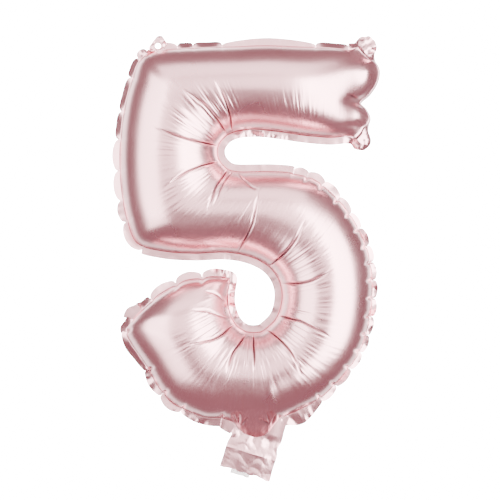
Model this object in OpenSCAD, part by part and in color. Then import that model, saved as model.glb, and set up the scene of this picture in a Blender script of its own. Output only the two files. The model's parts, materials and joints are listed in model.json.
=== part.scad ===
// Air-filled foil number balloon, the figure 5.
// Two foil panels are heat-sealed round their edge, and a flat two-ply valve runs up through the neck.
// The origin is the centre of the hanging eyelet, +Z is up, and the front of the figure faces -Y.

/* [Figure] */
// Height of the inflated figure between its top seam and the foot of the neck
figure_h = 344; // [300:1:400]
// Depth of the inflated tube from front to back
tube_depth = 75; // [50:1:80]
// Width of the flat heat seal outside the seam
seal_w = 7; // [5:0.5:8]
// Wall of each foil panel, thicker than the real film so that it is a sound solid
foil_t = 0.4; // [0.3:0.05:0.5]

/* [Hanging tab] */
// Diameter of the punched eyelet
eyelet_d = 5; // [4:0.5:5]
// Width of the tab across the eyelet
tab_w = 13; // [11:0.5:15]
// Width of the tab where it leaves the seal
tab_root_w = 9; // [7:0.5:11]
// Height of the tab's tip above the eyelet's centre
tab_top = 8.5; // [7:0.5:10]

/* [Tail] */
// Width of the filling tail
tail_w = 46; // [40:1:50]
// Length of flat neck between the seam and the fold line
neck_len = 15; // [12:1:20]
// Length of the loose flap below the fold line
flap_len = 18; // [14:1:30]
// How far the tail leans away from straight down
tail_tilt = 17; // [0:1:20]

/* [Valve] */
// Width of the self-sealing valve plies
valve_w = 18; // [14:1:19]
// How far the loose leaves of the valve reach up inside the figure
leaf_len = 40; // [25:1:50]
// Thickness of each valve ply
ply_t = 0.15; // [0.1:0.01:0.2]

/* [Hidden] */

foil_colour = [0.86, 0.70, 0.71];
valve_colour = [0.93, 0.90, 0.90];

// Ribs across the stroke, from the top bar's free end round to the hook's tip, for a figure 344 high.
// Each has its point on one seam, its point on the other, and how far it bows forwards along the stroke.
rib_h = 344;
ribs = [
    [[184, 1], [179, -86], 0],
    [[170, -3], [166, -81], 0],
    [[147, -2], [148, -80], 0],
    [[121, -1], [127, -78], 0],
    [[95, 0], [107, -75], 0],
    [[68, -1], [88, -73], 0],
    [[36, -2], [72, -74], 0],
    [[6, -4], [61, -78], 0],
    [[-14, -11], [55, -84], 0],
    [[-23, -32], [52.5, -89], 0],
    [[-30, -60], [52, -93], 0],
    [[-33, -92], [52.5, -97], 0],
    [[-32, -124], [54, -101], 0],
    [[-27, -152], [57, -105], 0],
    [[-18, -173], [62, -109], 0],
    [[4, -180], [70, -111], 0],
    [[32, -182], [84, -111], 0],
    [[58, -181], [102, -111], 0],
    [[78, -184], [121, -113], 0],
    [[94, -191], [142, -121], 0],
    [[104, -201], [166, -145], 0],
    [[109, -214], [184, -180], 0],
    [[108.5, -228], [188, -224], 0],
    [[104, -240], [177, -269], 0],
    [[95, -249], [148, -305], 0],
    [[90, -252], [124, -319], 0],
    [[88, -252.2], [112, -325], 0],
    [[86.5, -252.4], [104, -331], 0],
    [[85, -252.5], [96, -341], 0],
    [[83.5, -252.5], [86, -344], 0],
    [[82, -252.4], [76, -341], 0],
    [[80.5, -252.2], [66, -330], 0],
    [[79, -252], [56, -327], 0],
    [[76, -251], [38, -325], 0],
    [[70, -247], [10, -311], 0],
    [[65, -240], [-12, -278], 0],
    [[61.5, -229], [-22, -256], 3],
    [[61, -218], [-26, -245], 8],
    [[63, -205], [-25, -236], 12]
];
figure_scale = figure_h / rib_h;
last_rib = len(ribs) - 1;

// Rib at the middle of the neck, and the reach in ribs of the neck and of the valve's channel
neck_rib = 29;
neck_half = 2;
channel_half = 4 / 3;
neck_x = ribs[neck_rib][1][0] * figure_scale;
neck_z = ribs[neck_rib][1][1] * figure_scale;
// Half the gap between the two plies of the valve, and the space left between a ply and the foil over it
ply_gap = 0.15;
ply_room = 0.2;
// Gap on each side of the middle plane where the valve lies between the foils
channel = ply_gap + ply_t + ply_room;
// Half the gap at the fold line, so that the flap can turn without meeting the neck
fold_gap = 1.5;
// Half the gap at the root of each valve leaf, and how far inside the seam that root lies
leaf_gap = 0.2;
leaf_root = 14;

// The stroke swells from nothing at each end over this many ribs.
bar_end_ribs = 2;
tip_end_ribs = 3;
// Length along the stroke of a rib's spacing at the two ends
bar_rib_len = 16;
tip_rib_len = 10;

// Places along the stroke where the shell has a row of points, closer together where it curves most
row_step = 1 / 3;
tab_row_step = 1 / 6;
end_shares = [0, 0.01, 0.04, 0.1, 0.2, 0.35, 0.55, 0.8];
tab_from = 6;
tab_to = 8;
rows = concat(
    [for (e = end_shares) e * bar_end_ribs],
    [for (s = [bar_end_ribs : row_step : tab_from - row_step / 2]) s],
    [for (s = [tab_from : tab_row_step : tab_to - tab_row_step / 2]) s],
    [for (s = [tab_to : row_step : last_rib - tip_end_ribs - row_step / 2]) s],
    [for (i = [len(end_shares) - 1 : -1 : 0]) last_rib - end_shares[i] * tip_end_ribs]
);
// Steps of each row's arch from seam to seam
arch_steps = 10;
cols = arch_steps + 3;

// Catmull-Rom curve through a list of values, at place s along it
function through(v, s) =
    let (
        i = min(floor(s), len(v) - 2),
        t = s - i,
        a = v[max(i - 1, 0)],
        b = v[i],
        c = v[i + 1],
        d = v[min(i + 2, len(v) - 1)]
    )
    (2 * b + (c - a) * t + (2 * a - 5 * b + 4 * c - d) * t * t + (3 * b - a - 3 * c + d) * t * t * t) / 2;

function unit(v) = v / norm(v);

first_seam = [for (r = ribs) r[0] * figure_scale];
second_seam = [for (r = ribs) r[1] * figure_scale];
bows = [for (r = ribs) r[2] * figure_scale];

// The tab grows from the seam point nearest the eyelet, square to the seam there.
tab_rib = 7.28;
tab_foot = through(first_seam, tab_rib);
tab_along = unit(through(first_seam, tab_rib - 0.1) - through(first_seam, tab_rib + 0.1));
tab_turn = atan2(-tab_along[1], tab_along[0]);
tab_out = [-tab_along[1], tab_along[0]];
// The seal is trimmed narrow beside the tab, whose fold line lies just outside it.
trimmed_seal = 1.2;
tab_fold = 1.8;
fold_to_eyelet = -tab_foot * tab_out - tab_fold;

// Full depth fraction of the tube at place s
function swell(s) =
    let (e = min(1, s / bar_end_ribs, (last_rib - s) / tip_end_ribs))
    sqrt(max(0, 1 - (1 - e) * (1 - e)));

// Place of a row on the inner skin, moved in from the stroke's ends by the wall
function moved_in(s) =
    s + foil_t / bar_rib_len * max(0, 1 - s / bar_end_ribs)
      - foil_t / tip_rib_len * max(0, 1 - (last_rib - s) / tip_end_ribs);

function first_seal(p) = min(seal_w, trimmed_seal + max(0, norm(p - tab_foot) - tab_w / 2 - 1));

// Point of the neck plane at u across and v above the foot of the neck, leaning with the tail
function neck_point(u, v) =
    [neck_x + u * cos(tail_tilt) + v * sin(tail_tilt), neck_z - u * sin(tail_tilt) + v * cos(tail_tilt)];

// One row of points across the front foil. The outer skin has wall 0 and the inner skin has wall 1.
function row(s, wall, past_end) =
    let (
        at = s + wall * (moved_in(s) - s),
        a = through(first_seam, at),
        b = through(second_seam, at),
        bow = through(bows, at),
        across = unit(b - a),
        ahead = [across[1], -across[0]],
        shift = ahead * past_end * seal_w,
        in_neck = abs(s - neck_rib) < neck_half + row_step / 2,
        open = abs(s - neck_rib) < channel_half + row_step / 2 ? channel : 0,
        skin = wall == 0 ? foil_t : 0,
        inset = wall * foil_t,
        reach = norm(b - a) - 2 * inset,
        arch = [for (k = [0 : arch_steps])
            let (
                turn = 180 * k / arch_steps,
                p = a + across * (inset + reach * (1 - cos(turn)) / 2) + ahead * bow * sin(turn) + shift,
                rise = swell(s) * (tube_depth / 2 - foil_t) * sin(turn),
                floor_y = k == arch_steps ? open : 0
            )
            [p[0], -skin - max(floor_y, rise), p[1]]],
        first = a - across * first_seal(a) + shift,
        second = in_neck
            ? neck_point((neck_rib - s) / neck_half * tail_w / 2, fold_gap - neck_len)
            : b + across * seal_w + shift
    )
    concat([[first[0], -skin, first[1]]], arch, [[second[0], -skin - open, second[1]]]);

shell_rows = concat([[0, -1]], [for (s = rows) [s, 0]], [[last_rib, 1]]);

module foil_shell() {
    n = len(shell_rows);
    half = n * cols;
    points = [for (wall = [0, 1], r = shell_rows) each row(r[0], wall, r[1])];
    skin_faces = [for (i = [0 : n - 2], j = [0 : cols - 2])
        let (p = i * cols + j, q = p + cols)
        each [[p, q, q + 1], [p, q + 1, p + 1],
              [half + p, half + q + 1, half + q], [half + p, half + p + 1, half + q + 1]]];
    rim = concat(
        [for (j = [0 : cols - 1]) j],
        [for (i = [1 : n - 1]) i * cols + cols - 1],
        [for (j = [cols - 2 : -1 : 0]) (n - 1) * cols + j],
        [for (i = [n - 2 : -1 : 1]) i * cols]
    );
    rim_faces = [for (i = [0 : len(rim) - 1])
        let (p = rim[i], q = rim[(i + 1) % len(rim)])
        each [[p, q, half + q], [p, half + q, half + p]]];
    polyhedron(points, concat(skin_faces, rim_faces), convexity = 10);
}

module front_foil() {
    color(foil_colour) foil_shell();
}

module rear_foil() {
    color(foil_colour) mirror([0, 1, 0]) foil_shell();
}

// Places children at the tab's fold line, with +Z out along the tab.
module at_tab() {
    translate([tab_foot[0] + tab_fold * tab_out[0], 0, tab_foot[1] + tab_fold * tab_out[1]])
        rotate([0, tab_turn, 0])
            children();
}

module hanging_tab() {
    slide = -tab_foot * tab_along;
    tip_r = 2;
    color(foil_colour)
        difference() {
            at_tab()
                rotate([90, 0, 0])
                    linear_extrude(2 * foil_t, center = true)
                        offset(r = tip_r) offset(r = -tip_r)
                            polygon([
                                [slide - tab_root_w / 2, 0],
                                [slide + tab_root_w / 2, 0],
                                [slide + tab_w / 2, fold_to_eyelet],
                                [slide + tip_r, fold_to_eyelet + tab_top],
                                [slide - tip_r, fold_to_eyelet + tab_top],
                                [slide - tab_w / 2, fold_to_eyelet]
                            ]);
            rotate([90, 0, 0]) cylinder(h = 4 * foil_t, d = eyelet_d, center = true, $fn = 96);
        }
}

// Places children at the foot of the neck, with +Z up along the tail.
module at_neck() {
    translate([neck_x, 0, neck_z]) rotate([0, tail_tilt, 0]) children();
}

// Flap of foil below the fold line, sealed to its partner beside the valve and standing off it over the valve
module tail_foil() {
    lap = valve_w / 2 + 1;
    ramp = 3;
    at_neck()
        translate([0, 0, -neck_len - flap_len])
            linear_extrude(flap_len - fold_gap)
                polygon([
                    [-tail_w / 2, 0], [-tail_w / 2, -foil_t], [-lap - ramp, -foil_t],
                    [-lap, -channel - foil_t], [lap, -channel - foil_t], [lap + ramp, -foil_t],
                    [tail_w / 2, -foil_t], [tail_w / 2, 0], [lap + ramp, 0],
                    [lap, -channel], [-lap, -channel], [-lap - ramp, 0]
                ]);
}

module tail_front_foil() {
    color(foil_colour) tail_foil();
}

module tail_rear_foil() {
    color(foil_colour) mirror([0, 1, 0]) tail_foil();
}

// Strip of the front valve ply between two heights above the foot of the neck
module ply(from, to) {
    color(valve_colour)
        at_neck()
            translate([-valve_w / 2, -ply_gap - ply_t, from])
                cube([valve_w, ply_t, to - from]);
}

module valve_neck_front() ply(fold_gap - neck_len, leaf_root - leaf_gap);

module valve_neck_rear() mirror([0, 1, 0]) valve_neck_front();

module valve_leaf_front() ply(leaf_root + leaf_gap, leaf_root + leaf_len);

module valve_leaf_rear() mirror([0, 1, 0]) valve_leaf_front();

// The inlet plies end a little past the flap, where the tail has been trimmed.
inlet_proud = 3;

module valve_inlet_front() ply(-neck_len - flap_len - inlet_proud, -neck_len - fold_gap);

module valve_inlet_rear() mirror([0, 1, 0]) valve_inlet_front();

front_foil();
rear_foil();
hanging_tab();
tail_front_foil();
tail_rear_foil();
valve_neck_front();
valve_neck_rear();
valve_leaf_front();
valve_leaf_rear();
valve_inlet_front();
valve_inlet_rear();
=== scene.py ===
"""Foil number balloon, the figure 5: film skins, hanging tab, tail and valve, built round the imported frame."""

import json
import math

import bpy
import numpy as np
from bpy.props import FloatProperty, FloatVectorProperty, IntProperty, PointerProperty
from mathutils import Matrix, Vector


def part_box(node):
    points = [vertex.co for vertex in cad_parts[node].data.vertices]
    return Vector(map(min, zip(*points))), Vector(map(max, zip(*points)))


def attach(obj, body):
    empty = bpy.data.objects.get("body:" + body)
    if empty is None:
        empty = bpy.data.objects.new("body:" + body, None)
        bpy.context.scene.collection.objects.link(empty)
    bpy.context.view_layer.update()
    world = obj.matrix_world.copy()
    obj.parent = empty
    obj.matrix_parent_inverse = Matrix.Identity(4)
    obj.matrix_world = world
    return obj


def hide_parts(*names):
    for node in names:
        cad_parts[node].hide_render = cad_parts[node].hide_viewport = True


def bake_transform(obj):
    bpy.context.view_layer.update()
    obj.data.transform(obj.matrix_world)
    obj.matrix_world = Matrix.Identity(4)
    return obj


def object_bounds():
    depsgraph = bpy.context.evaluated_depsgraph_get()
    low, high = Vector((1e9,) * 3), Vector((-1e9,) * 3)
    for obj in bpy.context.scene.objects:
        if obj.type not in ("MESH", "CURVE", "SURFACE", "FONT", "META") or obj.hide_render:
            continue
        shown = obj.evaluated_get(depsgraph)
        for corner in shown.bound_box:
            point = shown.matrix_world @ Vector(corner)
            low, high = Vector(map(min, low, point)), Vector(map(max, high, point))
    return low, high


bl_info = {
    "name": "Foil Number Balloon",
    "version": (1, 0, 0),
    "blender": (4, 5, 0),
    "location": "3D View > Sidebar > Foil Balloon",
    "description": "Builds an air-filled foil figure 5 with its seal, tab, tail and valve",
    "category": "Object",
}

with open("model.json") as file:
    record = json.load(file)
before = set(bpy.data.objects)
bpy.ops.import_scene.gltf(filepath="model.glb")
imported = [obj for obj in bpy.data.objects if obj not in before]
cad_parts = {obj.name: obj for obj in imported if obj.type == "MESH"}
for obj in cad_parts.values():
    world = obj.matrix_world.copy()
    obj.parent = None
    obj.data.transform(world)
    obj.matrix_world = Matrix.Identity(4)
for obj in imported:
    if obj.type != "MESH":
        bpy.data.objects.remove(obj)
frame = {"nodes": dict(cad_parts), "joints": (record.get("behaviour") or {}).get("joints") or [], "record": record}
FRAME_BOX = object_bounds()
MM = 0.001

# Ribs across the stroke of the figure, in the frame's own millimetres from the eyelet. Each has the x and z
# of its point on the first seam, the same on the second seam, and how far it bows forwards along the stroke.
RIBS = (
    (184, 1, 179, -86, 0), (170, -3, 166, -81, 0), (147, -2, 148, -80, 0), (121, -1, 127, -78, 0),
    (95, 0, 107, -75, 0), (68, -1, 88, -73, 0), (36, -2, 72, -74, 0), (6, -4, 61, -78, 0),
    (-14, -11, 55, -84, 0), (-23, -32, 52.5, -89, 0), (-30, -60, 52, -93, 0), (-33, -92, 52.5, -97, 0),
    (-32, -124, 54, -101, 0), (-27, -152, 57, -105, 0), (-18, -173, 62, -109, 0), (4, -180, 70, -111, 0),
    (32, -182, 84, -111, 0), (58, -181, 102, -111, 0), (78, -184, 121, -113, 0), (94, -191, 142, -121, 0),
    (104, -201, 166, -145, 0), (109, -214, 184, -180, 0), (108.5, -228, 188, -224, 0),
    (104, -240, 177, -269, 0), (95, -249, 148, -305, 0), (90, -252, 124, -319, 0),
    (88, -252.2, 112, -325, 0), (86.5, -252.4, 104, -331, 0), (85, -252.5, 96, -341, 0),
    (83.5, -252.5, 86, -344, 0), (82, -252.4, 76, -341, 0), (80.5, -252.2, 66, -330, 0),
    (79, -252, 56, -327, 0), (76, -251, 38, -325, 0), (70, -247, 10, -311, 0), (65, -240, -12, -278, 0),
    (61.5, -229, -27, -254.5, 3), (61, -218, -24, -245, 8), (63, -205, -17, -236, 12),
)
LAST = len(RIBS) - 1
# The rib at the middle of the neck, how many ribs the neck reaches to each side of it, how wide the round arch
# is there, and the share of that width where the film leaves the arch and slopes down to the seam.
NECK_RIB = 29
NECK_HALF = 2.5
NECK_WIDTH = 77.5
NECK_LEAVE = 0.88
# How the tube's depth rises from the bar's square end, as shares of the full depth every six millimetres.
BAR_RISE = (0, 0.21, 0.405, 0.565, 0.68, 0.76, 0.825, 0.88, 0.925, 0.958, 0.981, 0.994, 1, 1)
BAR_RISE_STEP = 6.0
# Ribs over which the bar's rise is measured, and over which the hook's end is rounded.
BAR_RISE_RIBS = 6
TIP_END = 3.0
# Half the gap between the two films where they lie together, in millimetres.
HALF_GAP = 0.05

TUBE_DEPTH = 1000 * (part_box("rear_foil")[1][1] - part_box("front_foil")[0][1])
JOINTS = {j["name"]: j for j in frame["joints"]}
FOLD = np.array(JOINTS["tail_fold"]["pos_m"]) * 1000
TAIL_ACROSS = np.array(JOINTS["tail_fold"]["axis"])
TAIL_UP = np.cross(TAIL_ACROSS, (0, 1, 0))
NECK_FOOT = np.array([RIBS[NECK_RIB][2], 0, RIBS[NECK_RIB][3]], float)
FOLD_HEIGHT = float((FOLD - NECK_FOOT) @ TAIL_UP)
TAB_ROOT = np.array(JOINTS["tab_fold"]["pos_m"]) * 1000
TAB_ACROSS = np.array(JOINTS["tab_fold"]["axis"])
TAB_OUT = np.cross(TAB_ACROSS, (0, 1, 0))


# ---------------------------------------------------------------- small tools


def through(values, at):
    """Catmull-Rom curve through a row of values, at places along it."""
    v = np.asarray(values, float)
    at = np.asarray(at, float)
    i = np.clip(np.floor(at).astype(int), 0, len(v) - 2)
    t = at - i
    if v.ndim > 1:
        t = t[..., None]
    a, b = v[np.maximum(i - 1, 0)], v[i]
    c, d = v[i + 1], v[np.minimum(i + 2, len(v) - 1)]
    return (2 * b + (c - a) * t + (2 * a - 5 * b + 4 * c - d) * t**2 + (3 * b - a - 3 * c + d) * t**3) / 2


def ease(x, low, high):
    """Smooth step from 0 at low to 1 at high."""
    t = np.clip((np.asarray(x, float) - low) / (high - low), 0, 1)
    return t * t * (3 - 2 * t)


def ripple(x, y, seed):
    """Smooth random waves of about unit size with one bump per unit of x and of y."""
    rng = np.random.default_rng(seed)
    grid = rng.uniform(-1, 1, (256, 256))
    xi, yi = np.floor(x).astype(int), np.floor(y).astype(int)
    fx, fy = x - xi, y - yi
    fx, fy = fx * fx * (3 - 2 * fx), fy * fy * (3 - 2 * fy)
    a, b = grid[xi % 256, yi % 256], grid[(xi + 1) % 256, yi % 256]
    c, d = grid[xi % 256, (yi + 1) % 256], grid[(xi + 1) % 256, (yi + 1) % 256]
    return (a * (1 - fx) + b * fx) * (1 - fy) + (c * (1 - fx) + d * fx) * fy


def unit(v):
    """Vectors scaled to length 1 along the last axis."""
    return v / np.maximum(np.linalg.norm(v, axis=-1, keepdims=True), 1e-9)


def round_arch(share):
    """Height of a round arch at a share of its width, as a share of its full height."""
    return np.sin(np.arccos(np.clip(1 - 2 * share, -1, 1)))


def distances(points):
    """Distance along a line of points, from its first."""
    return np.concatenate([[0], np.cumsum(np.linalg.norm(np.diff(points, axis=0), axis=1))])


def fans(place, table):
    """Sum of soft round patches, each with its middle's x and z, half width, half height and weight."""
    return sum(
        weight * np.exp(-(((place[..., 0] - x) / wide) ** 2) - ((place[..., 2] - z) / tall) ** 2)
        for x, z, wide, tall, weight in table
    )


def mesh_piece(name, points, faces, material):
    """A new smooth object from points in millimetres of the frame."""
    mesh = bpy.data.meshes.new(name)
    mesh.from_pydata((np.asarray(points) * MM).tolist(), [], [list(map(int, f)) for f in faces])
    mesh.polygons.foreach_set("use_smooth", [True] * len(mesh.polygons))
    mesh.update()
    piece = bpy.data.objects.new(name, mesh)
    bpy.context.scene.collection.objects.link(piece)
    mesh.materials.append(material)
    return piece


def sheet_faces(rows, cols, flip=False):
    """Quads of a grid of points stored row by row."""
    k = np.arange(rows * cols).reshape(rows, cols)
    q = np.stack([k[:-1, :-1], k[1:, :-1], k[1:, 1:], k[:-1, 1:]], -1).reshape(-1, 4)
    return q[:, ::-1] if flip else q


# ---------------------------------------------------------------- the inflated stroke


def swell(s):
    """Share of the tube's full depth at place s: bevelled at the bar's end and rounded at the hook's end."""
    ribs = np.array(RIBS, float)
    at = np.linspace(0, BAR_RISE_RIBS, 400)
    far = distances(through((ribs[:, :2] + ribs[:, 2:4]) / 2, at))
    step = np.minimum(np.interp(s, at, far) / BAR_RISE_STEP, len(BAR_RISE) - 1)
    bar = np.minimum(1, through(BAR_RISE, step))
    tip = 1 - np.clip(1 - (LAST - s) / TIP_END, 0, 1) ** 2
    return bar * np.sqrt(tip)


# Places along the seams where the seal is gathered, in ribs, each with the lean of the scallop after it:
# 0 is flat, 1 is turned well back and -1 is turned well forwards.
FIRST_PINCHES = (
    (0.95, 0.84), (2.33, 0.12), (5.37, 0.84), (6.17, 0.8), (6.6, 0.2), (7.66, 0.3), (8.1, 0.8),
    (8.85, 0.84), (9.93, 0.8), (10.7, 0.25), (11.55, 0.35), (12.4, 0.1), (13.1, -0.2), (14.3, 0.0),
)
SECOND_PINCHES = (
    (17.9, 0.25), (18.5, 0.1), (19.1, 0.4), (19.65, 0.1), (20.1, 0.3), (20.5, -0.2), (20.9, 0.35), (21.25, 0.1),
    (21.6, 0.3), (21.95, -0.2), (22.3, 0.4), (22.65, 0.1), (23.0, 0.3), (23.35, -0.25), (23.75, 0.35),
    (24.2, 0.25), (26.6, 0.0), (32.0, 0.2), (33.6, -0.1), (34.2, 0.2), (34.8, 0.75), (36.2, 0.8), (37.2, 0.8),
)
# The seam round the bar's square end, from its upper corner to its lower one: two puffed lobes with a waist
# between them. The seal there is folded back behind the lobes.
BAR_EDGE = (
    (176, -1), (181, -7), (185.5, -11.3), (191.5, -15), (194.5, -22), (192.5, -32), (186, -42),
    (178.0, -49.7), (183, -56), (186.2, -63), (184.8, -68), (180.8, -71.7), (178.5, -76), (174, -81),
)
BAR_LEAN = 1.33
# How far, in millimetres, the skin is moved with each end's outline.
BAR_REACH = 15.0
TIP_REACH = 8.0
# The same for the hook's end, from its inner corner to its outer one.
TIP_EDGE = ((63, -205), (50, -203), (37, -204.8), (25, -206.5), (13, -212), (-1, -220.5), (-13.5, -232.5))
# Where the hook's end is pinched, as shares of its width, how far each pinch draws it in, and the lean of the
# scallops between them.
TIP_PINCHES = np.array([0.28, 0.55, 0.85])
TIP_PULL = np.array([1.5, 1.5, 1.2])
TIP_LEAN = (0.2, 0.15, 0.2, 0.8)
# The bar's end has a round ear of flat film at each corner: x, z and radius.
EARS = ((183.0, -0.5, 10.0), (178.8, -82.5, 9.2))
# The two puffed lobes of the bar's end stand out a little further.
PUFFED_LOBES = ((184, -25, 5.5, 9, 2.6), (178, -61, 4.5, 7, 1.4))
# Where the seal stands out in loose lobes round the tip of the hook.
LOOSE_LOBES = ((-22, -236, 7, 7, 6.0), (-33, -250, 5, 5, 4.0), (-28, -268, 8, 8, 4.0))
# Where the seal is crumpled.
CRUMPLED_SEAL = (
    (62, -218, 12, 24, 2.2), (88, -73, 24, 9, 1.6), (30, -330, 20, 12, 1.3), (125, -325, 24, 14, 1.4),
    (-14, -285, 10, 14, 1.2), (-12, -8, 14, 10, 1.6), (185, -230, 10, 60, 0.9), (-12, -290, 12, 12, 0.8),
)


# Width of a pinch and the length past which the seal between two pinches is straight, in millimetres.
PINCH_WIDTH = 1.5
LONGEST_SCALLOP = 90
# How far a pinch draws the first and the second seam in, how much further where the seal is gathered, and how
# deep into the skin that reaches.
FIRST_PULL = 0.3
SECOND_PULL = 0.5
GATHER_PULL = 0.9
PINCH_REACH = 4.0
# The width and the reach of a pinch at the hook's end.
TIP_PINCH_WIDTH = 2.5
TIP_PINCH_REACH = 5.0


def scallops(at, pinches, lengths):
    """For places along a seam: how far into a pinch each is (0 to 1), the lean there, the share of the seal's
    full width, and how much the film puffs up between two pinches."""
    table = np.array(pinches)
    pos = np.interp(at, lengths[0], lengths[1])
    knots = np.interp(table[:, 0], lengths[0], lengths[1])
    into = np.exp(-((np.min(np.abs(pos[:, None] - knots[None]), axis=1) / PINCH_WIDTH) ** 2))
    k = np.clip(np.searchsorted(knots, pos) - 1, 0, len(knots) - 2)
    inside = (pos > knots[0]) & (pos < knots[-1]) & (knots[k + 1] - knots[k] < LONGEST_SCALLOP)
    span = np.maximum(knots[k + 1] - knots[k], 1e-6)
    u = np.where(inside, np.clip((pos - knots[k]) / span, 0, 1), 0.5)
    arch = np.sin(np.pi * u)
    lean = np.where(inside, table[k, 1] * arch**0.5, 0.0)
    share = np.where(inside, arch**0.45, 1.0)
    bulge = np.where(inside, arch * np.minimum(span / 18, 1.6), 0)
    return into, lean, share, bulge


def stroke(rows, cols):
    """The smooth inflated surface of the front skin and what describes it, all in millimetres."""
    ribs = np.array(RIBS, float)
    first, second, bow = ribs[:, :2], ribs[:, 2:4], ribs[:, 4]
    fine = np.linspace(0, LAST, 6001)
    a, b = through(first, fine), through(second, fine)
    ahead = unit(b - a)[:, ::-1] * (1, -1)
    crest = np.column_stack([(a + b) / 2 + ahead * through(bow, fine)[:, None], swell(fine) * TUBE_DEPTH / 2])
    arc = distances(crest)
    s = np.interp(np.linspace(0, arc[-1], rows), arc, fine)
    t = np.linspace(0, 1, cols)
    a, b, bow = through(first, s), through(second, s), through(bow, s)
    length = np.linalg.norm(b - a, axis=1)
    across = unit(b - a)
    ahead = across[:, ::-1] * (1, -1)
    first_arc, second_arc = distances(a), distances(b)
    into_a, lean_a, share_a, bulge_a = scallops(s, FIRST_PINCHES, (s, first_arc))
    into_b, lean_b, share_b, bulge_b = scallops(s, SECOND_PINCHES, (s, second_arc))
    # The seams of the top bar and the stem are taut. Those of the bowl and the hook are gathered.
    pull_a = FIRST_PULL + GATHER_PULL * ease(s, 14.5, 16)
    pull_b = SECOND_PULL + GATHER_PULL * ease(s, 17.5, 19)
    share = (1 - np.cos(np.pi * t)) / 2
    x_on = length[:, None] * share[None]
    # In the neck the foot of the skin is a low lobe below the line of the seam on its two sides.
    in_neck = np.clip(1 - np.abs(s - NECK_RIB) / NECK_HALF, 0, 1)
    arch_width = np.where(in_neck > 0, np.minimum(length, NECK_WIDTH), length)[:, None]
    leave = NECK_LEAVE * arch_width
    slope = np.clip(1 - (x_on - leave) / np.maximum(length[:, None] - leave, 1e-6), 0, 1)
    lobe = 2 * math.sqrt(NECK_LEAVE * (1 - NECK_LEAVE)) * slope**0.9
    lobe = np.where(x_on < leave, round_arch(x_on / arch_width), lobe)
    body = round_arch(x_on / length[:, None])
    body = body + (lobe - body) * ease(in_neck, 0, 0.4)[:, None]
    height = swell(s)[:, None] * (TUBE_DEPTH / 2) * np.maximum(body, 0)
    bend = bow[:, None] * np.sin(np.pi * t)
    flat = a[:, None] + across[:, None] * x_on[..., None] + ahead[:, None] * bend[..., None]
    # The seam is drawn in at each pinch.
    drawn = (pull_a * into_a)[:, None] * np.exp(-((x_on / PINCH_REACH) ** 2))
    drawn = drawn - (pull_b * into_b)[:, None] * np.exp(-(((length[:, None] - x_on) / PINCH_REACH) ** 2))
    flat = flat + across[:, None] * drawn[..., None]
    place = np.stack([flat[..., 0], -height, flat[..., 1]], -1)
    # Each end of the skin is moved onto its own outline.
    for row, outline, reach in ((0, BAR_EDGE, BAR_REACH), (-1, TIP_EDGE, TIP_REACH)):
        edge = through(outline, np.linspace(0, len(outline) - 1, 600))
        edge_arc = distances(edge) / distances(edge)[-1]
        target = np.column_stack([np.interp(share, edge_arc, edge[:, axis]) for axis in (0, 1)])
        shift = target - place[row][:, [0, 2]]
        far = np.linalg.norm(place[..., [0, 2]] - place[row][None][..., [0, 2]], axis=-1)
        fade = np.exp(-((far / reach) ** 2))
        place[..., 0] += fade * shift[:, 0]
        place[..., 2] += fade * shift[:, 1]
    # The hook's end is drawn in at its own pinches.
    line = place[-1]
    along = distances(line)
    knots = np.interp(TIP_PINCHES, share, along)
    pull = sum(p * np.exp(-(((along - k) / TIP_PINCH_WIDTH) ** 2)) for p, k in zip(TIP_PULL, knots))
    inward = unit(place[-6, cols // 2, [0, 2]] - line[cols // 2, [0, 2]])
    far = np.linalg.norm(place[..., [0, 2]] - line[None, :, [0, 2]], axis=-1)
    fade = np.exp(-((far / TIP_PINCH_REACH) ** 2)) * pull[None]
    place[..., 0] += inward[0] * fade
    place[..., 2] += inward[1] * fade
    return {
        "s": s, "t": t, "share": share, "place": place, "first": first_arc, "second": second_arc,
        "length": length, "x_on": x_on, "lean": (lean_a, lean_b), "into": (into_a, into_b),
        "bulge": (bulge_a, bulge_b), "lobe": (share_a, share_b), "pull": (pull_a, pull_b),
        "arc": np.linspace(0, arc[-1], rows),
    }


def surface_normals(place):
    """Normals of a grid of points, facing away from the inside of the tube."""
    du = np.gradient(place, axis=0)
    dv = np.gradient(place, axis=1)
    n = unit(np.cross(du, dv))
    return np.where(n[..., 1:2] > 0, -n, n)


# Main creases of the film, each from the seam to where it fades out: x and z of both ends, the depth in
# millimetres, and how far it bends sideways. The one with no depth only keeps its place in the random draws.
CREASES = (
    (65, -75, 51, -34, 1.9, 3), (60, -77, 24, -41, 1.7, 3), (50, -88, -3, -73, 2.0, -2),
    (51, -103, 9, -124, 1.9, 3), (62, -109, 45, -146, 1.8, 3), (66, -110, 50, -141, 1.2, 2),
    (71, -113, 88, -127, 1.0, 2), (73, -114, 88, -181, 0.0, 2),
    (71, -181, 88, -127, 1.9, 4), (97, -194, 128, -155, 1.9, 4), (111, -209, 151, -197, 1.9, 4),
    (106, -237, 150, -255, 1.8, -3), (96, -249, 125, -286, 1.9, -4), (84, -254, 85, -285, 1.6, 0),
    (77, -254, 61, -286, 1.8, 3), (65, -246, 28, -261, 1.8, -4), (61, -239, 31, -231, 1.0, 2),
    (59, -224, 41, -215, 0.8, 2), (179, -50, 166, -44, 1.6, 1), (186, -11, 178, -19, 1.0, 1),
    (181, -72, 173, -66, 1.0, 1), (69, -331, 65, -322, 0.8, 0), (71, -331, 72, -321, 0.8, 0),
    (73, -332, 79, -325, 0.8, 0), (97, -332, 89, -326, 0.9, 0), (98, -331, 95, -321, 0.8, 0),
    (100, -331, 104, -322, 0.8, 0),
)
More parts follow.
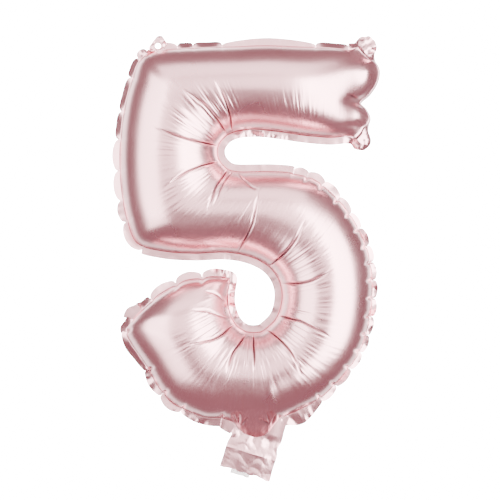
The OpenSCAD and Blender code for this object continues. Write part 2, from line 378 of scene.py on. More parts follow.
# A crease is a sharp groove in a soft valley, with a low ridge on each side. The valley's depth and the ridges'
# height are shares of the crease's depth. The widths are in millimetres, and the valley widens along its way.
VALLEY_SHARE = 0.16
VALLEY_WIDTH = 2.4
VALLEY_WIDENS = 3.0
GROOVE_WIDTH = 0.64
RIDGE_SHARE = 0.10
RIDGE_OFFSET = 2.4
RIDGE_WIDTH = 1.2
# Width of the painted shade in a groove, and the depth from which a crease gets its full painted shade.
SHADE_WIDTH = 0.6
SHADE_DEPTH = 1.6


def crease_relief(place, seed, mirrored):
    """Height of the main creases at each point of a skin, and their painted shade: how near each point is to one.
    """
    x, z = place[..., 0], place[..., 2]
    relief, painted_shade = np.zeros(x.shape), np.zeros(x.shape)
    rng = np.random.default_rng(seed)
    for x0, z0, x1, z1, depth, bend in CREASES:
        dx, dz = x1 - x0, z1 - z0
        long = math.hypot(dx, dz)
        if mirrored:
            turn = rng.uniform(-0.16, 0.16)
            cos, sin = math.cos(turn), math.sin(turn)
            dx, dz = dx * cos - dz * sin, dx * sin + dz * cos
            scale = rng.uniform(0.75, 1.15)
            dx, dz, long = dx * scale, dz * scale, long * scale
            x0, z0 = x0 + rng.uniform(-3, 3), z0 + rng.uniform(-2, 2)
            depth, bend = depth * rng.uniform(0.6, 1.1), bend * rng.uniform(-1, 1)
        u = ((x - x0) * dx + (z - z0) * dz) / long**2
        off = ((x - x0) * dz - (z - z0) * dx) / long
        off = off - bend * np.sin(np.pi * np.clip(u, 0, 1))
        wander = ripple(u * long / 9.0 + x0, np.full(u.shape, float(z0)), seed + 3)
        off = off + 0.5 * wander
        along = ease(u, -0.1, 0.12) * (1 - ease(u, 0.55, 1.08))
        valley = np.exp(-np.sqrt(off**2 + 0.35) / (VALLEY_WIDTH + VALLEY_WIDENS * np.clip(u, 0, 1)))
        groove = np.exp(-((off / GROOVE_WIDTH) ** 2))
        ridge = np.exp(-(((np.abs(off) - RIDGE_OFFSET) / RIDGE_WIDTH) ** 2))
        relief -= depth * along * (VALLEY_SHARE * valley + groove - RIDGE_SHARE * ridge)
        # Painted shade: nearness to this crease's groove, which darkens the foil's colour there.
        painted_shade = np.maximum(painted_shade, along * min(1, depth / SHADE_DEPTH) * np.exp(-((off / SHADE_WIDTH) ** 2)))
    return relief, painted_shade


# Where the fine wrinkles lie.
WRINKLE_FANS = (
    (45, -50, 24, 22, 1), (22, -80, 24, 30, 1), (35, -125, 24, 26, 1), (105, -58, 48, 13, 1.2),
    (85, -150, 26, 22, 0.7), (130, -185, 26, 34, 1), (135, -240, 26, 30, 1), (105, -275, 30, 20, 1),
    (70, -280, 26, 22, 1), (40, -262, 22, 20, 1), (45, -228, 16, 16, 0.9),
)
# Spacing of the fine wrinkles and of the broader ones among them, and the height of both, in millimetres.
FINE_STEP = 1.25
BROAD_STEP = 2.8
WRINKLE_HEIGHT = 0.24


def fine_relief(g, seed):
    """Fine wrinkles that run across the stroke in the fans between the main creases."""
    across, along = np.meshgrid(g["t"], g["arc"])
    lean = 5.0 * ripple(along / 40, across * 2, seed + 1)
    base = ripple((along + lean) / FINE_STEP, across * 6.0, seed + 2)
    broad = ripple((along + lean) / BROAD_STEP, across * 4.0, seed + 4)
    waves = 0.85 * base + 0.6 * broad
    gate = ease(ripple(along / 14, across * 3, seed + 7), -0.5, 0.5)
    return waves * np.clip(fans(g["place"], WRINKLE_FANS), 0, 1) * (0.35 + 0.65 * gate)


# Heights in millimetres of the ticks that run in from the pinches, of the puffs between them and of the small
# ticks all along, and how far in from the seam they reach.
PINCH_TICK = 1.0
PUFF = 0.2
SMALL_TICK = 0.09
TICK_REACH = 4.5


def edge_relief(g):
    """Height of the ticks and puffs beside the seam at each point of a skin."""
    out = np.zeros(g["place"].shape[:2])
    for side in (0, 1):
        far = g["x_on"] if side == 0 else g["length"][:, None] - g["x_on"]
        strength = (g["pull"][side] / (SECOND_PULL + GATHER_PULL))[:, None] ** 2
        into = g["into"][side][:, None]
        bulge = g["bulge"][side][:, None]
        out -= PINCH_TICK * strength * into * np.exp(-((far / TICK_REACH) ** 2)) * ease(far, 0, 1.0)
        out += PUFF * strength * bulge * np.exp(-(((far - TICK_REACH) / TICK_REACH) ** 2))
        seam = (g["first"] if side == 0 else g["second"])[:, None]
        level = np.full(seam.shape, 3.0)
        ticks = ripple(seam / 1.5, level, 31 + side) + 0.5 * ripple(seam / 3.1, level, 35 + side)
        out += SMALL_TICK * strength * ticks * np.exp(-(((far - 3.5) / 3.0) ** 2))
    return out


def skin(name, side, seed, rows, cols, material):
    """One film skin with its half of the seal. side is -1 for the front and 1 for the rear."""
    g = stroke(rows, cols)
    place = g["place"].copy()
    normal = surface_normals(place)
    edge = np.minimum(g["x_on"], g["length"][:, None] - g["x_on"])
    inner = ease(edge, 0.0, 3.0) * ease(swell(g["s"]), 0.0, 0.5)[:, None]
    fold, painted_shade = crease_relief(place, seed, side > 0)
    relief = fold + WRINKLE_HEIGHT * fine_relief(g, seed) + fans(place, PUFFED_LOBES)
    relief = relief * inner + edge_relief(g) * ease(swell(g["s"]), 0.2, 0.7)[:, None]
    place += normal * relief[..., None]
    place[..., 1] = np.minimum(place[..., 1], -HALF_GAP)
    border, quads = seal_border(g, place, loop_of(rows, cols))
    points = np.concatenate([place.reshape(-1, 3), border])
    faces = np.concatenate([sheet_faces(rows, cols), quads])
    if side > 0:
        # The rear skin mirrors the front one, but its seal lies against the front one's.
        points = points * (1, -1, 1)
        points[rows * cols:, 1] = 2 * HALF_GAP - points[rows * cols:, 1]
        faces = faces[:, ::-1]
    piece = mesh_piece(name, points, faces, material)
    # Painted shade in the main creases, kept in the crease attribute that darkens the foil's colour.
    shade = piece.data.attributes.new("crease", "FLOAT", "POINT")
    painted_shade = np.concatenate([(painted_shade * inner).reshape(-1), np.zeros(len(border))])
    shade.data.foreach_set("value", painted_shade.astype(np.float32))
    return piece


def loop_of(rows, cols):
    """Grid indices round a skin's edge, from the bar's end along the first seam and back along the second."""
    k = np.arange(rows * cols).reshape(rows, cols)
    return np.concatenate([k[:, 0], k[-1, 1:], k[-2::-1, -1], k[0, -2:0:-1]])


# Rings of points across the seal, and its width in millimetres.
SEAL_RINGS = 6
SEAL_WIDTH = 7.0
# The bowl's outer seal is narrower by this share.
BOWL_TRIM = 0.3
# The seal is wider at both sides of the neck, by how much, how far from its middle and over what width. Close
# under the tail it is cut short.
NECK_FLARE = 6.5
NECK_FLARE_AT = 27
NECK_FLARE_WIDTH = 12
NECK_CUT_HALF = 17
NECK_CUT = 3.0


def outward(flat):
    """Directions that point out of the figure from each point of its edge."""
    step = np.roll(flat, -1, 0) - np.roll(flat, 1, 0)
    for _ in range(4):
        step = (np.roll(step, 1, 0) + 2 * step + np.roll(step, -1, 0)) / 4
    out = unit(np.column_stack([-step[:, 1], step[:, 0]]))
    area = np.sum(flat[:, 0] * np.roll(flat[:, 1], -1) - np.roll(flat[:, 0], -1) * flat[:, 1])
    return out * (-1 if area > 0 else 1)


def seal_leans(g, flat):
    """How far the seal leans at each point of the edge, and its share of the full width there."""
    rows, cols = len(g["s"]), len(g["t"])
    lean, lobe = np.zeros(len(flat)), np.ones(len(flat))
    second = rows + cols - 1
    lean[:rows], lobe[:rows] = g["lean"][0], g["lobe"][0]
    lean[second:second + rows - 1] = g["lean"][1][-2::-1]
    lobe[second:second + rows - 1] = g["lobe"][1][-2::-1]
    # The hook's end has scallops of its own, and the bar's end is folded back.
    k = (rows - 1 + np.arange(cols)) % len(flat)
    end = distances(flat[k])
    spans = np.interp(sorted((0.0, *TIP_PINCHES, 1.0)), g["share"], end)
    which = np.clip(np.searchsorted(spans, end) - 1, 0, len(spans) - 2)
    span = np.maximum(spans[which + 1] - spans[which], 1e-6)
    arch = np.sin(np.pi * np.clip((end - spans[which]) / span, 0, 1))
    corner = (end < spans[1] / 2) | (end > (spans[-2] + spans[-1]) / 2)
    lean[k] = np.array(TIP_LEAN)[which] * arch**0.5
    lobe[k] = np.where(corner, 1.0, arch**0.45)
    k = (2 * rows + cols - 3 + np.arange(cols)) % len(flat)
    lean[k] = BAR_LEAN
    return lean, lobe


def seal_widths(line, lean, lobe):
    """Width of the seal at each point of the edge, in millimetres."""
    width = SEAL_WIDTH * (0.28 + 0.72 * lobe) * (1 + 0.4 * np.clip(np.abs(lean), 0, 1))
    width = width * (1 - BOWL_TRIM * ease(line[:, 0], 120, 160) * ease(-line[:, 2], 120, 150))
    # The seal is trimmed beside the tab.
    beside = np.abs((line - TAB_ROOT) @ TAB_ACROSS)
    near_tab = np.abs((line - TAB_ROOT) @ TAB_OUT) < 8
    width = np.where(near_tab, np.minimum(width, 1.4 + 2.5 * np.maximum(0, beside - 5.2)), width)
    width = width + fans(line, LOOSE_LOBES)
    neck = np.abs((line - NECK_FOOT) @ TAIL_ACROSS)
    low = line[:, 2] < NECK_FOOT[2] + 45
    flare = NECK_FLARE * np.exp(-(((neck - NECK_FLARE_AT) / NECK_FLARE_WIDTH) ** 2))
    width = width + np.where(low, flare, 0)
    return np.where(low & (neck < NECK_CUT_HALF), np.minimum(width, NECK_CUT), width)


def with_ears(here, flat, out, share_out):
    """The seal's points with those near the bar's end corners spread into the two ears."""
    for ear_x, ear_z, radius in EARS:
        ear = np.array([ear_x, ear_z])
        aim = unit(flat - ear + out * 9.0)
        rim = ear + aim * radius * (1 + 0.06 * ripple(aim[:, :1] * 3 + 4, aim[:, 1:] * 3 + 4, 91))
        spread = flat + (rim - flat) * share_out
        near = (1 - ease(np.linalg.norm(flat - ear, axis=1), 8.0, 17.0))[:, None]
        pucker = 3.2 * ripple(spread[:, 0] / 3.6, spread[:, 1] / 3.6, 92) + 6.0
        pucker = pucker * share_out
        there = np.column_stack([spread[:, 0], pucker - HALF_GAP, spread[:, 1]])
        here = here * (1 - near) + there * near
    return here


def seal_border(g, place, loop):
    """The heat seal outside the seam: rings of points whose scallops lean back or forwards."""
    line = place.reshape(-1, 3)[loop]
    flat = line[:, [0, 2]]
    n = len(loop)
    out = outward(flat)
    lean, lobe = seal_leans(g, flat)
    move = seal_widths(line, lean, lobe) / SEAL_RINGS
    heap = 0.12 + fans(line, CRUMPLED_SEAL)
    here = np.column_stack([flat[:, 0], np.full(n, -HALF_GAP), flat[:, 1]])
    points = []
    quads = []
    prev = loop
    for r in range(1, SEAL_RINGS + 1):
        angle = lean * 1.15 * (r / SEAL_RINGS) ** 0.12
        aim = np.column_stack([out[:, 0] * np.cos(angle), np.sin(angle), out[:, 1] * np.cos(angle)])
        here = here + aim * move[:, None]
        crumple = ripple(here[:, 0] / 6.4, here[:, 2] / 4.8, 90)
        crumple = crumple + 0.3 * ripple(here[:, 0] / 2.4, here[:, 2] / 2.4, 93)
        here[:, 1] += 0.5 * heap * crumple * min(1, r / 2)
        here = with_ears(here, flat, out, r / SEAL_RINGS)
        cur = len(place.reshape(-1, 3)) + (r - 1) * n + np.arange(n)
        points.append(here.copy())
        quads.append(np.stack([prev, np.roll(prev, -1), np.roll(cur, -1), cur], -1))
        prev = cur
    return np.concatenate(points), np.concatenate(quads)


# ---------------------------------------------------------------- tab, tail and valve


# Half widths of the tab at its root and at its widest, and the height of its top above the eyelet's centre.
TAB_ROOT_HALF = 6.6
TAB_HALF = 8.3
TAB_TOP = 8.8


def tab_outline(angle):
    """Distance from the eyelet's centre to the tab's rounded edge at each angle, 0 being straight out."""
    fold = -float(TAB_ROOT @ TAB_OUT)
    slide = -float(TAB_ROOT @ TAB_ACROSS)
    corners = np.array([
        (-TAB_ROOT_HALF - slide, -fold), (TAB_ROOT_HALF - slide, -fold), (TAB_HALF, 0.5),
        (5.4, TAB_TOP - 0.6), (1.0, TAB_TOP), (-TAB_HALF, 0.5),
    ])
    reach = np.full(angle.shape, 1e3)
    ray = np.stack([np.sin(angle), np.cos(angle)], -1)
    for p, q in zip(corners, np.roll(corners, -1, 0)):
        edge = q - p
        cross = ray[:, 0] * edge[1] - ray[:, 1] * edge[0]
        cross = np.where(np.abs(cross) < 1e-9, 1e-9, cross)
        far = (p[0] * edge[1] - p[1] * edge[0]) / cross
        along = (p[0] * ray[:, 1] - p[1] * ray[:, 0]) / cross
        hit = (far > 0) & (along > -0.02) & (along < 1.02)
        reach = np.where(hit, np.minimum(reach, far), reach)
    for _ in range(3):
        reach = (np.roll(reach, 1) + 2 * reach + np.roll(reach, -1)) / 4
    return reach


def tab_film(name, side, material):
    """One ply of the hanging tab, pressed round its eyelet."""
    hole = frame["record"]["mounts"][0]["dims"]["r_mm"]
    turns, rings = 96, 9
    angle = np.linspace(0, 2 * np.pi, turns, endpoint=False)
    reach = tab_outline(angle)
    rings_at = np.linspace(0, 1, rings) ** 1.2
    radius = hole + (reach[None] - hole) * rings_at[:, None]
    u = radius * np.sin(angle)[None]
    w = radius * np.cos(angle)[None]
    # The foot of the tab reaches down over the seal.
    root = float(TAB_ROOT @ TAB_OUT)
    w = np.where(w < root * 0.98, w - 2.2 * ease(rings_at, 0.6, 1.0)[:, None], w)
    lip = 0.25 * np.exp(-(((radius - hole - 0.7) / 0.45) ** 2))
    crumple = 1.1 * ripple(u / 3.2 + 5, w / 3.2 + 9, 61) * ease(rings_at, 0.1, 0.9)[:, None]
    y = crumple + side * (0.06 + lip)
    place = u[..., None] * TAB_ACROSS + w[..., None] * TAB_OUT
    place[..., 1] += y
    k = np.arange(rings * turns).reshape(rings, turns)
    n = np.roll(k, -1, 1)
    quads = np.stack([k[:-1], k[1:], n[1:], n[:-1]], -1).reshape(-1, 4)
    if side < 0:
        quads = quads[:, ::-1]
    return mesh_piece(name, place.reshape(-1, 3), quads, material)


def tail_crumple(u, v):
    """How far the middle of the tail stands off the flat, at u across and v above the foot of the neck."""
    near_fold = np.exp(-np.abs(v - FOLD_HEIGHT) / 1.3)
    ridged = 1 - 2 * np.abs(ripple(u / 9.5 + 3 + v / 11, v / 9.0 + 7 - u / 15, 71))
    small = 1 - 2 * np.abs(ripple(u / 3.1 + 31, v / 3.4 + 5 + u / 9, 72))
    upright = ripple(u / 6.5 + 1, v / 22.0 + 2, 73)
    top = ease(v, FOLD_HEIGHT, 0)
    return (
        -0.6 * near_fold * (0.6 + 0.4 * ripple(u / 6.0, v * 0 + 4, 75))
        + 0.5 * ridged * (0.4 + 0.6 * top)
        + 0.05 * small
        + 1.3 * upright * top
        + 0.7 * ripple(u / 16.0 + 8, v / 14.0 + 3, 74)
        - 0.12 * np.minimum(-v, -FOLD_HEIGHT) - 0.02 * np.maximum(0, FOLD_HEIGHT - v)
    )


# Half widths of the tail and the valve, and how far they reach past the fold, in millimetres.
TAIL_HALF = 23.0
TAIL_REACH = 18.0
VALVE_HALF = 8.6
VALVE_REACH = 21.5


def tail_film(name, side, material):
    """One ply of the filling tail, from under the seam down past the fold."""
    rows, cols = 84, 96
    u = np.linspace(-TAIL_HALF, TAIL_HALF, cols)[None] + np.zeros((rows, 1))
    top = 1.0 + 13.0 * ease(-u[0], 9, 21) + 24.0 * ease(u[0], 4, 18)
    foot = FOLD_HEIGHT - TAIL_REACH
    bottom = foot + 0.7 * ripple(u[0] / 5.0, u[0] * 0 + 6, 77) - 0.8 * ease(u[0], 14, 22)
    down = np.linspace(0, 1, rows)[:, None]
    v = top[None] + (bottom - top)[None] * down
    # The edges wander a little, and the neck is drawn in just under the seam.
    u = u * (1 - 0.06 * np.exp(-(((v + 4) / 4.5) ** 2))) + 0.5 * ripple(v / 6.0, u / 30 + 2, 78)
    y = tail_crumple(u, v)
    gap = 0.08 + 0.55 * ease(TAIL_HALF - np.abs(u), 2.0, 12.0)
    curl = 3.0 * ease(u, 15, 23) * ease(-v, 28, 34) * ease(-v, 10, 20)
    place = NECK_FOOT + u[..., None] * TAIL_ACROSS + v[..., None] * TAIL_UP
    place[..., 1] += (y - curl) * ease(-v, -6, 2) + side * gap
    return mesh_piece(name, place.reshape(-1, 3), sheet_faces(rows, cols, flip=side > 0), material)


def valve_film(name, side, material):
    """One ply of the clear valve, from inside the neck down to its end just past the tail."""
    rows, cols = 70, 30
    u = np.linspace(-VALVE_HALF, VALVE_HALF, cols)[None] + np.zeros((rows, 1))
    foot = FOLD_HEIGHT - VALVE_REACH
    bottom = foot + 0.4 * ripple(u[0] / 3.0, u[0] * 0 + 6, 87)
    v = 13.0 + (bottom - 13.0)[None] * np.linspace(0, 1, rows)[:, None]
    y = tail_crumple(u, v) * ease(-v, -6, 2)
    place = NECK_FOOT + (u - 4.0 * ease(-v, 20, 34))[..., None] * TAIL_ACROSS + v[..., None] * TAIL_UP
    place[..., 1] += y + side * 0.22
    return mesh_piece(name, place.reshape(-1, 3), sheet_faces(rows, cols, flip=side > 0), material)


# ---------------------------------------------------------------- materials


def foil_material(name, colour, roughness):
    """Satin metallised film: soft metal with a faint mottle and fine crinkle, and painted shade in the skins' main
    creases.
    """
    mat = bpy.data.materials.new(name)
    mat.use_nodes = True
    nodes, links = mat.node_tree.nodes, mat.node_tree.links
    shader = nodes["Principled BSDF"]
    shader.inputs["Metallic"].default_value = 1.0
    shader.inputs["Coat Weight"].default_value = 0.15
    shader.inputs["Coat Roughness"].default_value = 0.25
    place = nodes.new("ShaderNodeTexCoord")
    mottle = nodes.new("ShaderNodeTexNoise")
    mottle.inputs["Scale"].default_value = 22.0
    mottle.inputs["Detail"].default_value = 4.0
    links.new(place.outputs["Object"], mottle.inputs["Vector"])
    tint = nodes.new("ShaderNodeValToRGB")
    tint.color_ramp.elements[0].position = 0.3
    tint.color_ramp.elements[1].position = 0.7
    tint.color_ramp.elements[0].color = (*[c * 0.95 for c in colour], 1)
    tint.color_ramp.elements[1].color = (*[min(1, c * 1.03) for c in colour], 1)
    links.new(mottle.outputs["Fac"], tint.inputs["Fac"])
    # Painted shade of the light trapped in the tight main creases, darkening the colour where the skins mark one.
    near = nodes.new("ShaderNodeAttribute")
    near.attribute_name = "crease"
    painted_shade_mix = nodes.new("ShaderNodeMix")
    painted_shade_mix.data_type = "RGBA"
    # Dark colour of the painted crease shade.
    painted_shade_mix.inputs["B"].default_value = (*[0.04 + 0.11 * c * c for c in colour], 1)
    links.new(near.outputs["Fac"], painted_shade_mix.inputs["Factor"])
    links.new(tint.outputs["Color"], painted_shade_mix.inputs["A"])
    links.new(painted_shade_mix.outputs["Result"], shader.inputs["Base Color"])
    haze = nodes.new("ShaderNodeMapRange")
    haze.inputs["To Min"].default_value = roughness - 0.04
    haze.inputs["To Max"].default_value = roughness + 0.05
    links.new(mottle.outputs["Fac"], haze.inputs["Value"])
    links.new(haze.outputs["Result"], shader.inputs["Roughness"])
    crinkle = nodes.new("ShaderNodeTexNoise")
    crinkle.inputs["Scale"].default_value = 420.0
    crinkle.inputs["Detail"].default_value = 3.0
    links.new(place.outputs["Object"], crinkle.inputs["Vector"])
    bump = nodes.new("ShaderNodeBump")
    bump.inputs["Strength"].default_value = 0.06
    bump.inputs["Distance"].default_value = 0.0004
    links.new(crinkle.outputs["Fac"], bump.inputs["Height"])
    links.new(bump.outputs["Normal"], shader.inputs["Normal"])
    return mat


def valve_material(name):
    """Thin polyethylene film, glossy, greyish pink and partly see-through."""
    mat = bpy.data.materials.new(name)
    mat.use_nodes = True
    nodes, links = mat.node_tree.nodes, mat.node_tree.links
    shader = nodes["Principled BSDF"]
    shader.inputs["Roughness"].default_value = 0.18
    shader.inputs["IOR"].default_value = 1.5
    shader.inputs["Alpha"].default_value = 0.75
    place = nodes.new("ShaderNodeTexCoord")
    haze = nodes.new("ShaderNodeTexNoise")
    haze.inputs["Scale"].default_value = 160.0
    haze.inputs["Detail"].default_value = 4.0
    links.new(place.outputs["Object"], haze.inputs["Vector"])
    tint = nodes.new("ShaderNodeValToRGB")
    tint.color_ramp.elements[0].color = (0.34, 0.25, 0.25, 1)
    tint.color_ramp.elements[1].color = (0.46, 0.36, 0.36, 1)
    links.new(haze.outputs["Fac"], tint.inputs["Fac"])
    links.new(tint.outputs["Color"], shader.inputs["Base Color"])
    bump = nodes.new("ShaderNodeBump")
    bump.inputs["Strength"].default_value = 0.25
    bump.inputs["Distance"].default_value = 0.0005
    links.new(haze.outputs["Fac"], bump.inputs["Height"])
    links.new(bump.outputs["Normal"], shader.inputs["Normal"])
    return mat


def stage_material(name, shade, glow):
    """Plain pale surface for the floor and backdrop."""
    mat = bpy.data.materials.new(name)
    mat.use_nodes = True
    shader = mat.node_tree.nodes["Principled BSDF"]
    shader.inputs["Base Color"].default_value = (*shade, 1)
    shader.inputs["Roughness"].default_value = 0.9
    shader.inputs["Emission Color"].default_value = (1, 1, 1, 1)
    shader.inputs["Emission Strength"].default_value = glow
    return mat


# The white cove behind the balloon: where it begins and is full along y, how far it draws back overhead and to
# the right, and its colours at the bottom and at the top.
COVE_BEGINS = 0.49
COVE_FULL = 0.60
COVE_OVERHEAD = 0.32
COVE_RIGHT = 0.11
COVE_BOTTOM = (1.4, 1.33, 1.30, 1)
COVE_TOP = (6.2, 6.1, 5.9, 1)
# Colours of the air round the balloon, from underfoot to overhead.
AIR_BELOW = (0.52, 0.28, 0.31, 1)
AIR_LEVEL = (0.38, 0.19, 0.21, 1)
AIR_ABOVE = (0.5, 0.28, 0.30, 1)

# What the camera sees at the balloon: its middle, x and z, and its width, in metres.
VIEW_MIDDLE = (0.08096, -0.1795)
VIEW_SPAN = 0.440
# Room below the balloon, the radii of the floor and the backdrop, and how strongly both glow.
FLOOR_DROP = 0.06
FLOOR_RADIUS = 4
BACKDROP_RADIUS = 5
STAGE_GLOW = 30.0
STAGE_WHITE = (0.92, 0.92, 0.92)

# Softboxes of the studio: name, place, size across and up, and power. All of them aim at one point.
AIM = Vector((0.08, 0, -0.19))
LIGHT_COLOUR = (1.0, 0.985, 0.945)
STUDIO_LIGHTS = (
    ("left_softbox", (-1.12, -1.12, 0.10), (1.3, 1.5), 46),
    ("low_left_softbox", (-1.05, -1.15, -0.85), (1.2, 0.7), 15),
    ("right_softbox", (1.12, -1.07, -0.20), (1.4, 2.0), 130),
    ("front_fill", (0.08, -2.50, 0.50), (3.2, 1.7), 52),
    ("top_softbox", (0.10, -0.80, 1.00), (1.6, 0.9), 16),
)


def studio_air(world):
    """Ambient light: dim and rosy, paler overhead and underfoot, with a white cove behind the balloon."""
    nodes, links = world.node_tree.nodes, world.node_tree.links
    place = nodes.new("ShaderNodeTexCoord")
    split = nodes.new("ShaderNodeSeparateXYZ")
    links.new(place.outputs["Generated"], split.inputs["Vector"])
    fall = nodes.new("ShaderNodeValToRGB")
    fall.color_ramp.elements[0].position = 0.0
    fall.color_ramp.elements[0].color = AIR_BELOW
    fall.color_ramp.elements[1].position = 1.0
    fall.color_ramp.elements[1].color = AIR_ABOVE
    middle = fall.color_ramp.elements.new(0.5)
    middle.color = AIR_LEVEL
    lift = nodes.new("ShaderNodeMapRange")
    lift.inputs["From Min"].default_value = -1.0
    lift.inputs["From Max"].default_value = 1.0
    links.new(split.outputs["Z"], lift.inputs["Value"])
    links.new(lift.outputs["Result"], fall.inputs["Fac"])
    behind = nodes.new("ShaderNodeMapRange")
    behind.inputs["From Min"].default_value = COVE_BEGINS
    behind.inputs["From Max"].default_value = COVE_FULL
    above = nodes.new("ShaderNodeMath")
    above.operation = "MAXIMUM"
    above.inputs[1].default_value = 0.0
    links.new(split.outputs["Z"], above.inputs[0])
    lower = nodes.new("ShaderNodeMath")
    lower.operation = "MULTIPLY_ADD"
    lower.inputs[1].default_value = -COVE_OVERHEAD
    links.new(above.outputs["Value"], lower.inputs[0])
    links.new(split.outputs["Y"], lower.inputs[2])
    aside = nodes.new("ShaderNodeMath")
    aside.operation = "MULTIPLY_ADD"
    aside.inputs[1].default_value = -COVE_RIGHT
    links.new(split.outputs["X"], aside.inputs[0])
    links.new(lower.outputs["Value"], aside.inputs[2])
    links.new(aside.outputs["Value"], behind.inputs["Value"])
    wall = nodes.new("ShaderNodeMix")
    wall.data_type = "RGBA"
    wall.inputs["A"].default_value = COVE_BOTTOM
    wall.inputs["B"].default_value = COVE_TOP
    links.new(lift.outputs["Result"], wall.inputs["Factor"])
    cove = nodes.new("ShaderNodeMix")
    cove.data_type = "RGBA"
    links.new(wall.outputs["Result"], cove.inputs["B"])
    links.new(behind.outputs["Result"], cove.inputs["Factor"])
    links.new(fall.outputs["Color"], cove.inputs["A"])
    links.new(cove.outputs["Result"], nodes["Background"].inputs["Color"])


class BalloonSettings(bpy.types.PropertyGroup):
    """Sizes and colours of the balloon."""

    foil_colour: FloatVectorProperty(
        name="Foil Colour", description="Colour of the metallised film", subtype="COLOR",
        size=3, min=0, max=1, default=(0.84, 0.475, 0.52),
    )
    roughness: FloatProperty(
        name="Satin Roughness", description="How much the film softens what it reflects",
        min=0.05, max=0.8, default=0.28,
    )
    rows: IntProperty(
        name="Rows", description="Rows of points along the stroke", min=60, max=1500, default=1340,
    )
    cols: IntProperty(
        name="Columns", description="Columns of points across the stroke", min=20, max=140, default=128,
    )


def settings():
    """The balloon's settings in the current scene."""
    return bpy.context.scene.foil_balloon


class BALLOON_OT_stage(bpy.types.Operator):
    """Makes the camera, the pale floor, the backdrop and the soft studio lights"""

    bl_idname = "balloon.stage"
    bl_label = "Add Stage"

    def execute(self, context):
        scene = context.scene
        lens = bpy.data.cameras.new("camera")
        camera = bpy.data.objects.new("camera", lens)
        scene.collection.objects.link(camera)
        lens.lens = 150
        lens.sensor_width = 36
        distance = VIEW_SPAN * lens.lens / lens.sensor_width
        camera.location = (VIEW_MIDDLE[0], -distance, VIEW_MIDDLE[1])
        camera.rotation_euler = (math.radians(90), 0, 0)
        lens.clip_end = 30
        scene.camera = camera
        world = bpy.data.worlds.new("studio")
        scene.world = world
        world.use_nodes = True
        studio_air(world)
        for name, spot, size, power in STUDIO_LIGHTS:
            light = bpy.data.lights.new(name, "AREA")
            light.shape = "RECTANGLE"
            light.size, light.size_y = size
            light.energy = power
            light.color = LIGHT_COLOUR
            lamp = bpy.data.objects.new(name, light)
            lamp.location = spot
            lamp.rotation_euler = (AIM - Vector(spot)).to_track_quat("-Z", "Y").to_euler()
            scene.collection.objects.link(lamp)
        middle = (0.08, 0, FRAME_BOX[0][2] - FLOOR_DROP)
        bpy.ops.mesh.primitive_circle_add(vertices=96, radius=FLOOR_RADIUS, fill_type="NGON", location=middle)
        floor = context.active_object
        floor.name = "floor"
        floor.data.materials.append(stage_material("floor_white", STAGE_WHITE, STAGE_GLOW))
        bpy.ops.mesh.primitive_uv_sphere_add(
            segments=48, ring_count=24, radius=BACKDROP_RADIUS, location=middle,
        )
        dome = context.active_object
        dome.name = "backdrop"
        dome.data.materials.append(stage_material("backdrop_white", STAGE_WHITE, STAGE_GLOW))
        for o in (floor, dome):
            o.visible_glossy = False
            o.visible_diffuse = False
        dome.visible_shadow = False
        return {"FINISHED"}


class BALLOON_OT_skins(bpy.types.Operator):
    """Builds the front and rear film skins with their seal"""

    bl_idname = "balloon.skins"
    bl_label = "Add Film Skins"

    def execute(self, context):
        p = settings()
        foil = foil_material("satin_foil", tuple(p.foil_colour), p.roughness)
        skins = (("front_skin", -1, 21, "front_foil"), ("rear_skin", 1, 47, "rear_foil"))
        for name, side, seed, node in skins:
            piece = skin(name, side, seed, p.rows, p.cols, foil)
            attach(piece, "envelope")
            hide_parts(node)
        return {"FINISHED"}


class BALLOON_OT_tab(bpy.types.Operator):
    """Builds the two plies of the hanging tab round its eyelet"""

    bl_idname = "balloon.tab"
    bl_label = "Add Hanging Tab"

    def execute(self, context):
        p = settings()
        foil = foil_material("tab_foil", tuple(p.foil_colour), p.roughness)
        for name, side in (("tab_front_film", -1), ("tab_rear_film", 1)):
            piece = tab_film(name, side, foil)
            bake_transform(piece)
            if side < 0:
                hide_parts("hanging_tab")
        return {"FINISHED"}


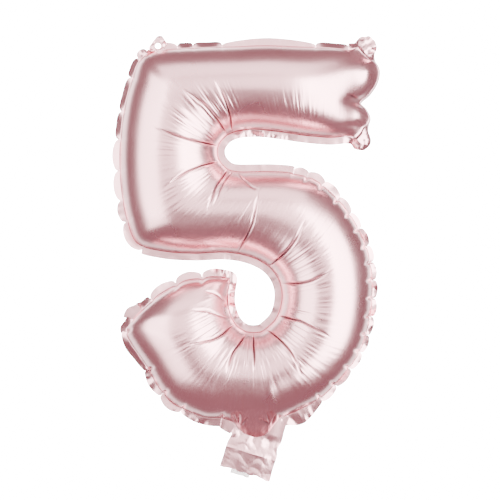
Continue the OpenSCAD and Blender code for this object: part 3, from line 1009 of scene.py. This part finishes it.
class BALLOON_OT_tail(bpy.types.Operator):
    """Builds the two plies of the filling tail, which bend across its fold"""

    bl_idname = "balloon.tail"
    bl_label = "Add Filling Tail"

    def execute(self, context):
        p = settings()
        foil = foil_material("tail_foil", tuple(p.foil_colour), p.roughness)
        plies = (("tail_front_film", -1, "tail_front_foil"), ("tail_rear_film", 1, "tail_rear_foil"))
        for name, side, node in plies:
            piece = tail_film(name, side, foil)
            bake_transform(piece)
            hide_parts(node)
        return {"FINISHED"}


class BALLOON_OT_valve(bpy.types.Operator):
    """Builds the clear plies of the filling valve and finishes the leaves inside the figure"""

    bl_idname = "balloon.valve"
    bl_label = "Add Filling Valve"

    def execute(self, context):
        film = valve_material("valve_film")
        for name, side, word in (("valve_front_film", -1, "front"), ("valve_rear_film", 1, "rear")):
            piece = valve_film(name, side, film)
            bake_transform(piece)
            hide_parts("valve_neck_" + word, "valve_inlet_" + word)
            leaf = frame["nodes"]["valve_leaf_" + word]
            leaf.data.materials.clear()
            leaf.data.materials.append(film)
        return {"FINISHED"}


class BALLOON_PT_panel(bpy.types.Panel):
    """Sidebar panel with the balloon's settings and steps"""

    bl_idname = "BALLOON_PT_panel"
    bl_label = "Foil Balloon"
    bl_space_type = "VIEW_3D"
    bl_region_type = "UI"
    bl_category = "Foil Balloon"

    def draw(self, context):
        p = context.scene.foil_balloon
        for field in ("foil_colour", "roughness", "rows", "cols"):
            self.layout.prop(p, field)
        for step in STEPS:
            self.layout.operator(step.bl_idname)


STEPS = (BALLOON_OT_stage, BALLOON_OT_skins, BALLOON_OT_tab, BALLOON_OT_tail, BALLOON_OT_valve)
CLASSES = (BalloonSettings, *STEPS, BALLOON_PT_panel)


def register():
    for cls in CLASSES:
        bpy.utils.register_class(cls)
    bpy.types.Scene.foil_balloon = PointerProperty(type=BalloonSettings)


def unregister():
    del bpy.types.Scene.foil_balloon
    for cls in reversed(CLASSES):
        bpy.utils.unregister_class(cls)


def main():
    register()
    bpy.ops.balloon.stage()
    bpy.ops.balloon.skins()
    bpy.ops.balloon.tab()
    bpy.ops.balloon.tail()
    bpy.ops.balloon.valve()
    bpy.context.view_layer.update()


if __name__ == "__main__":
    main()
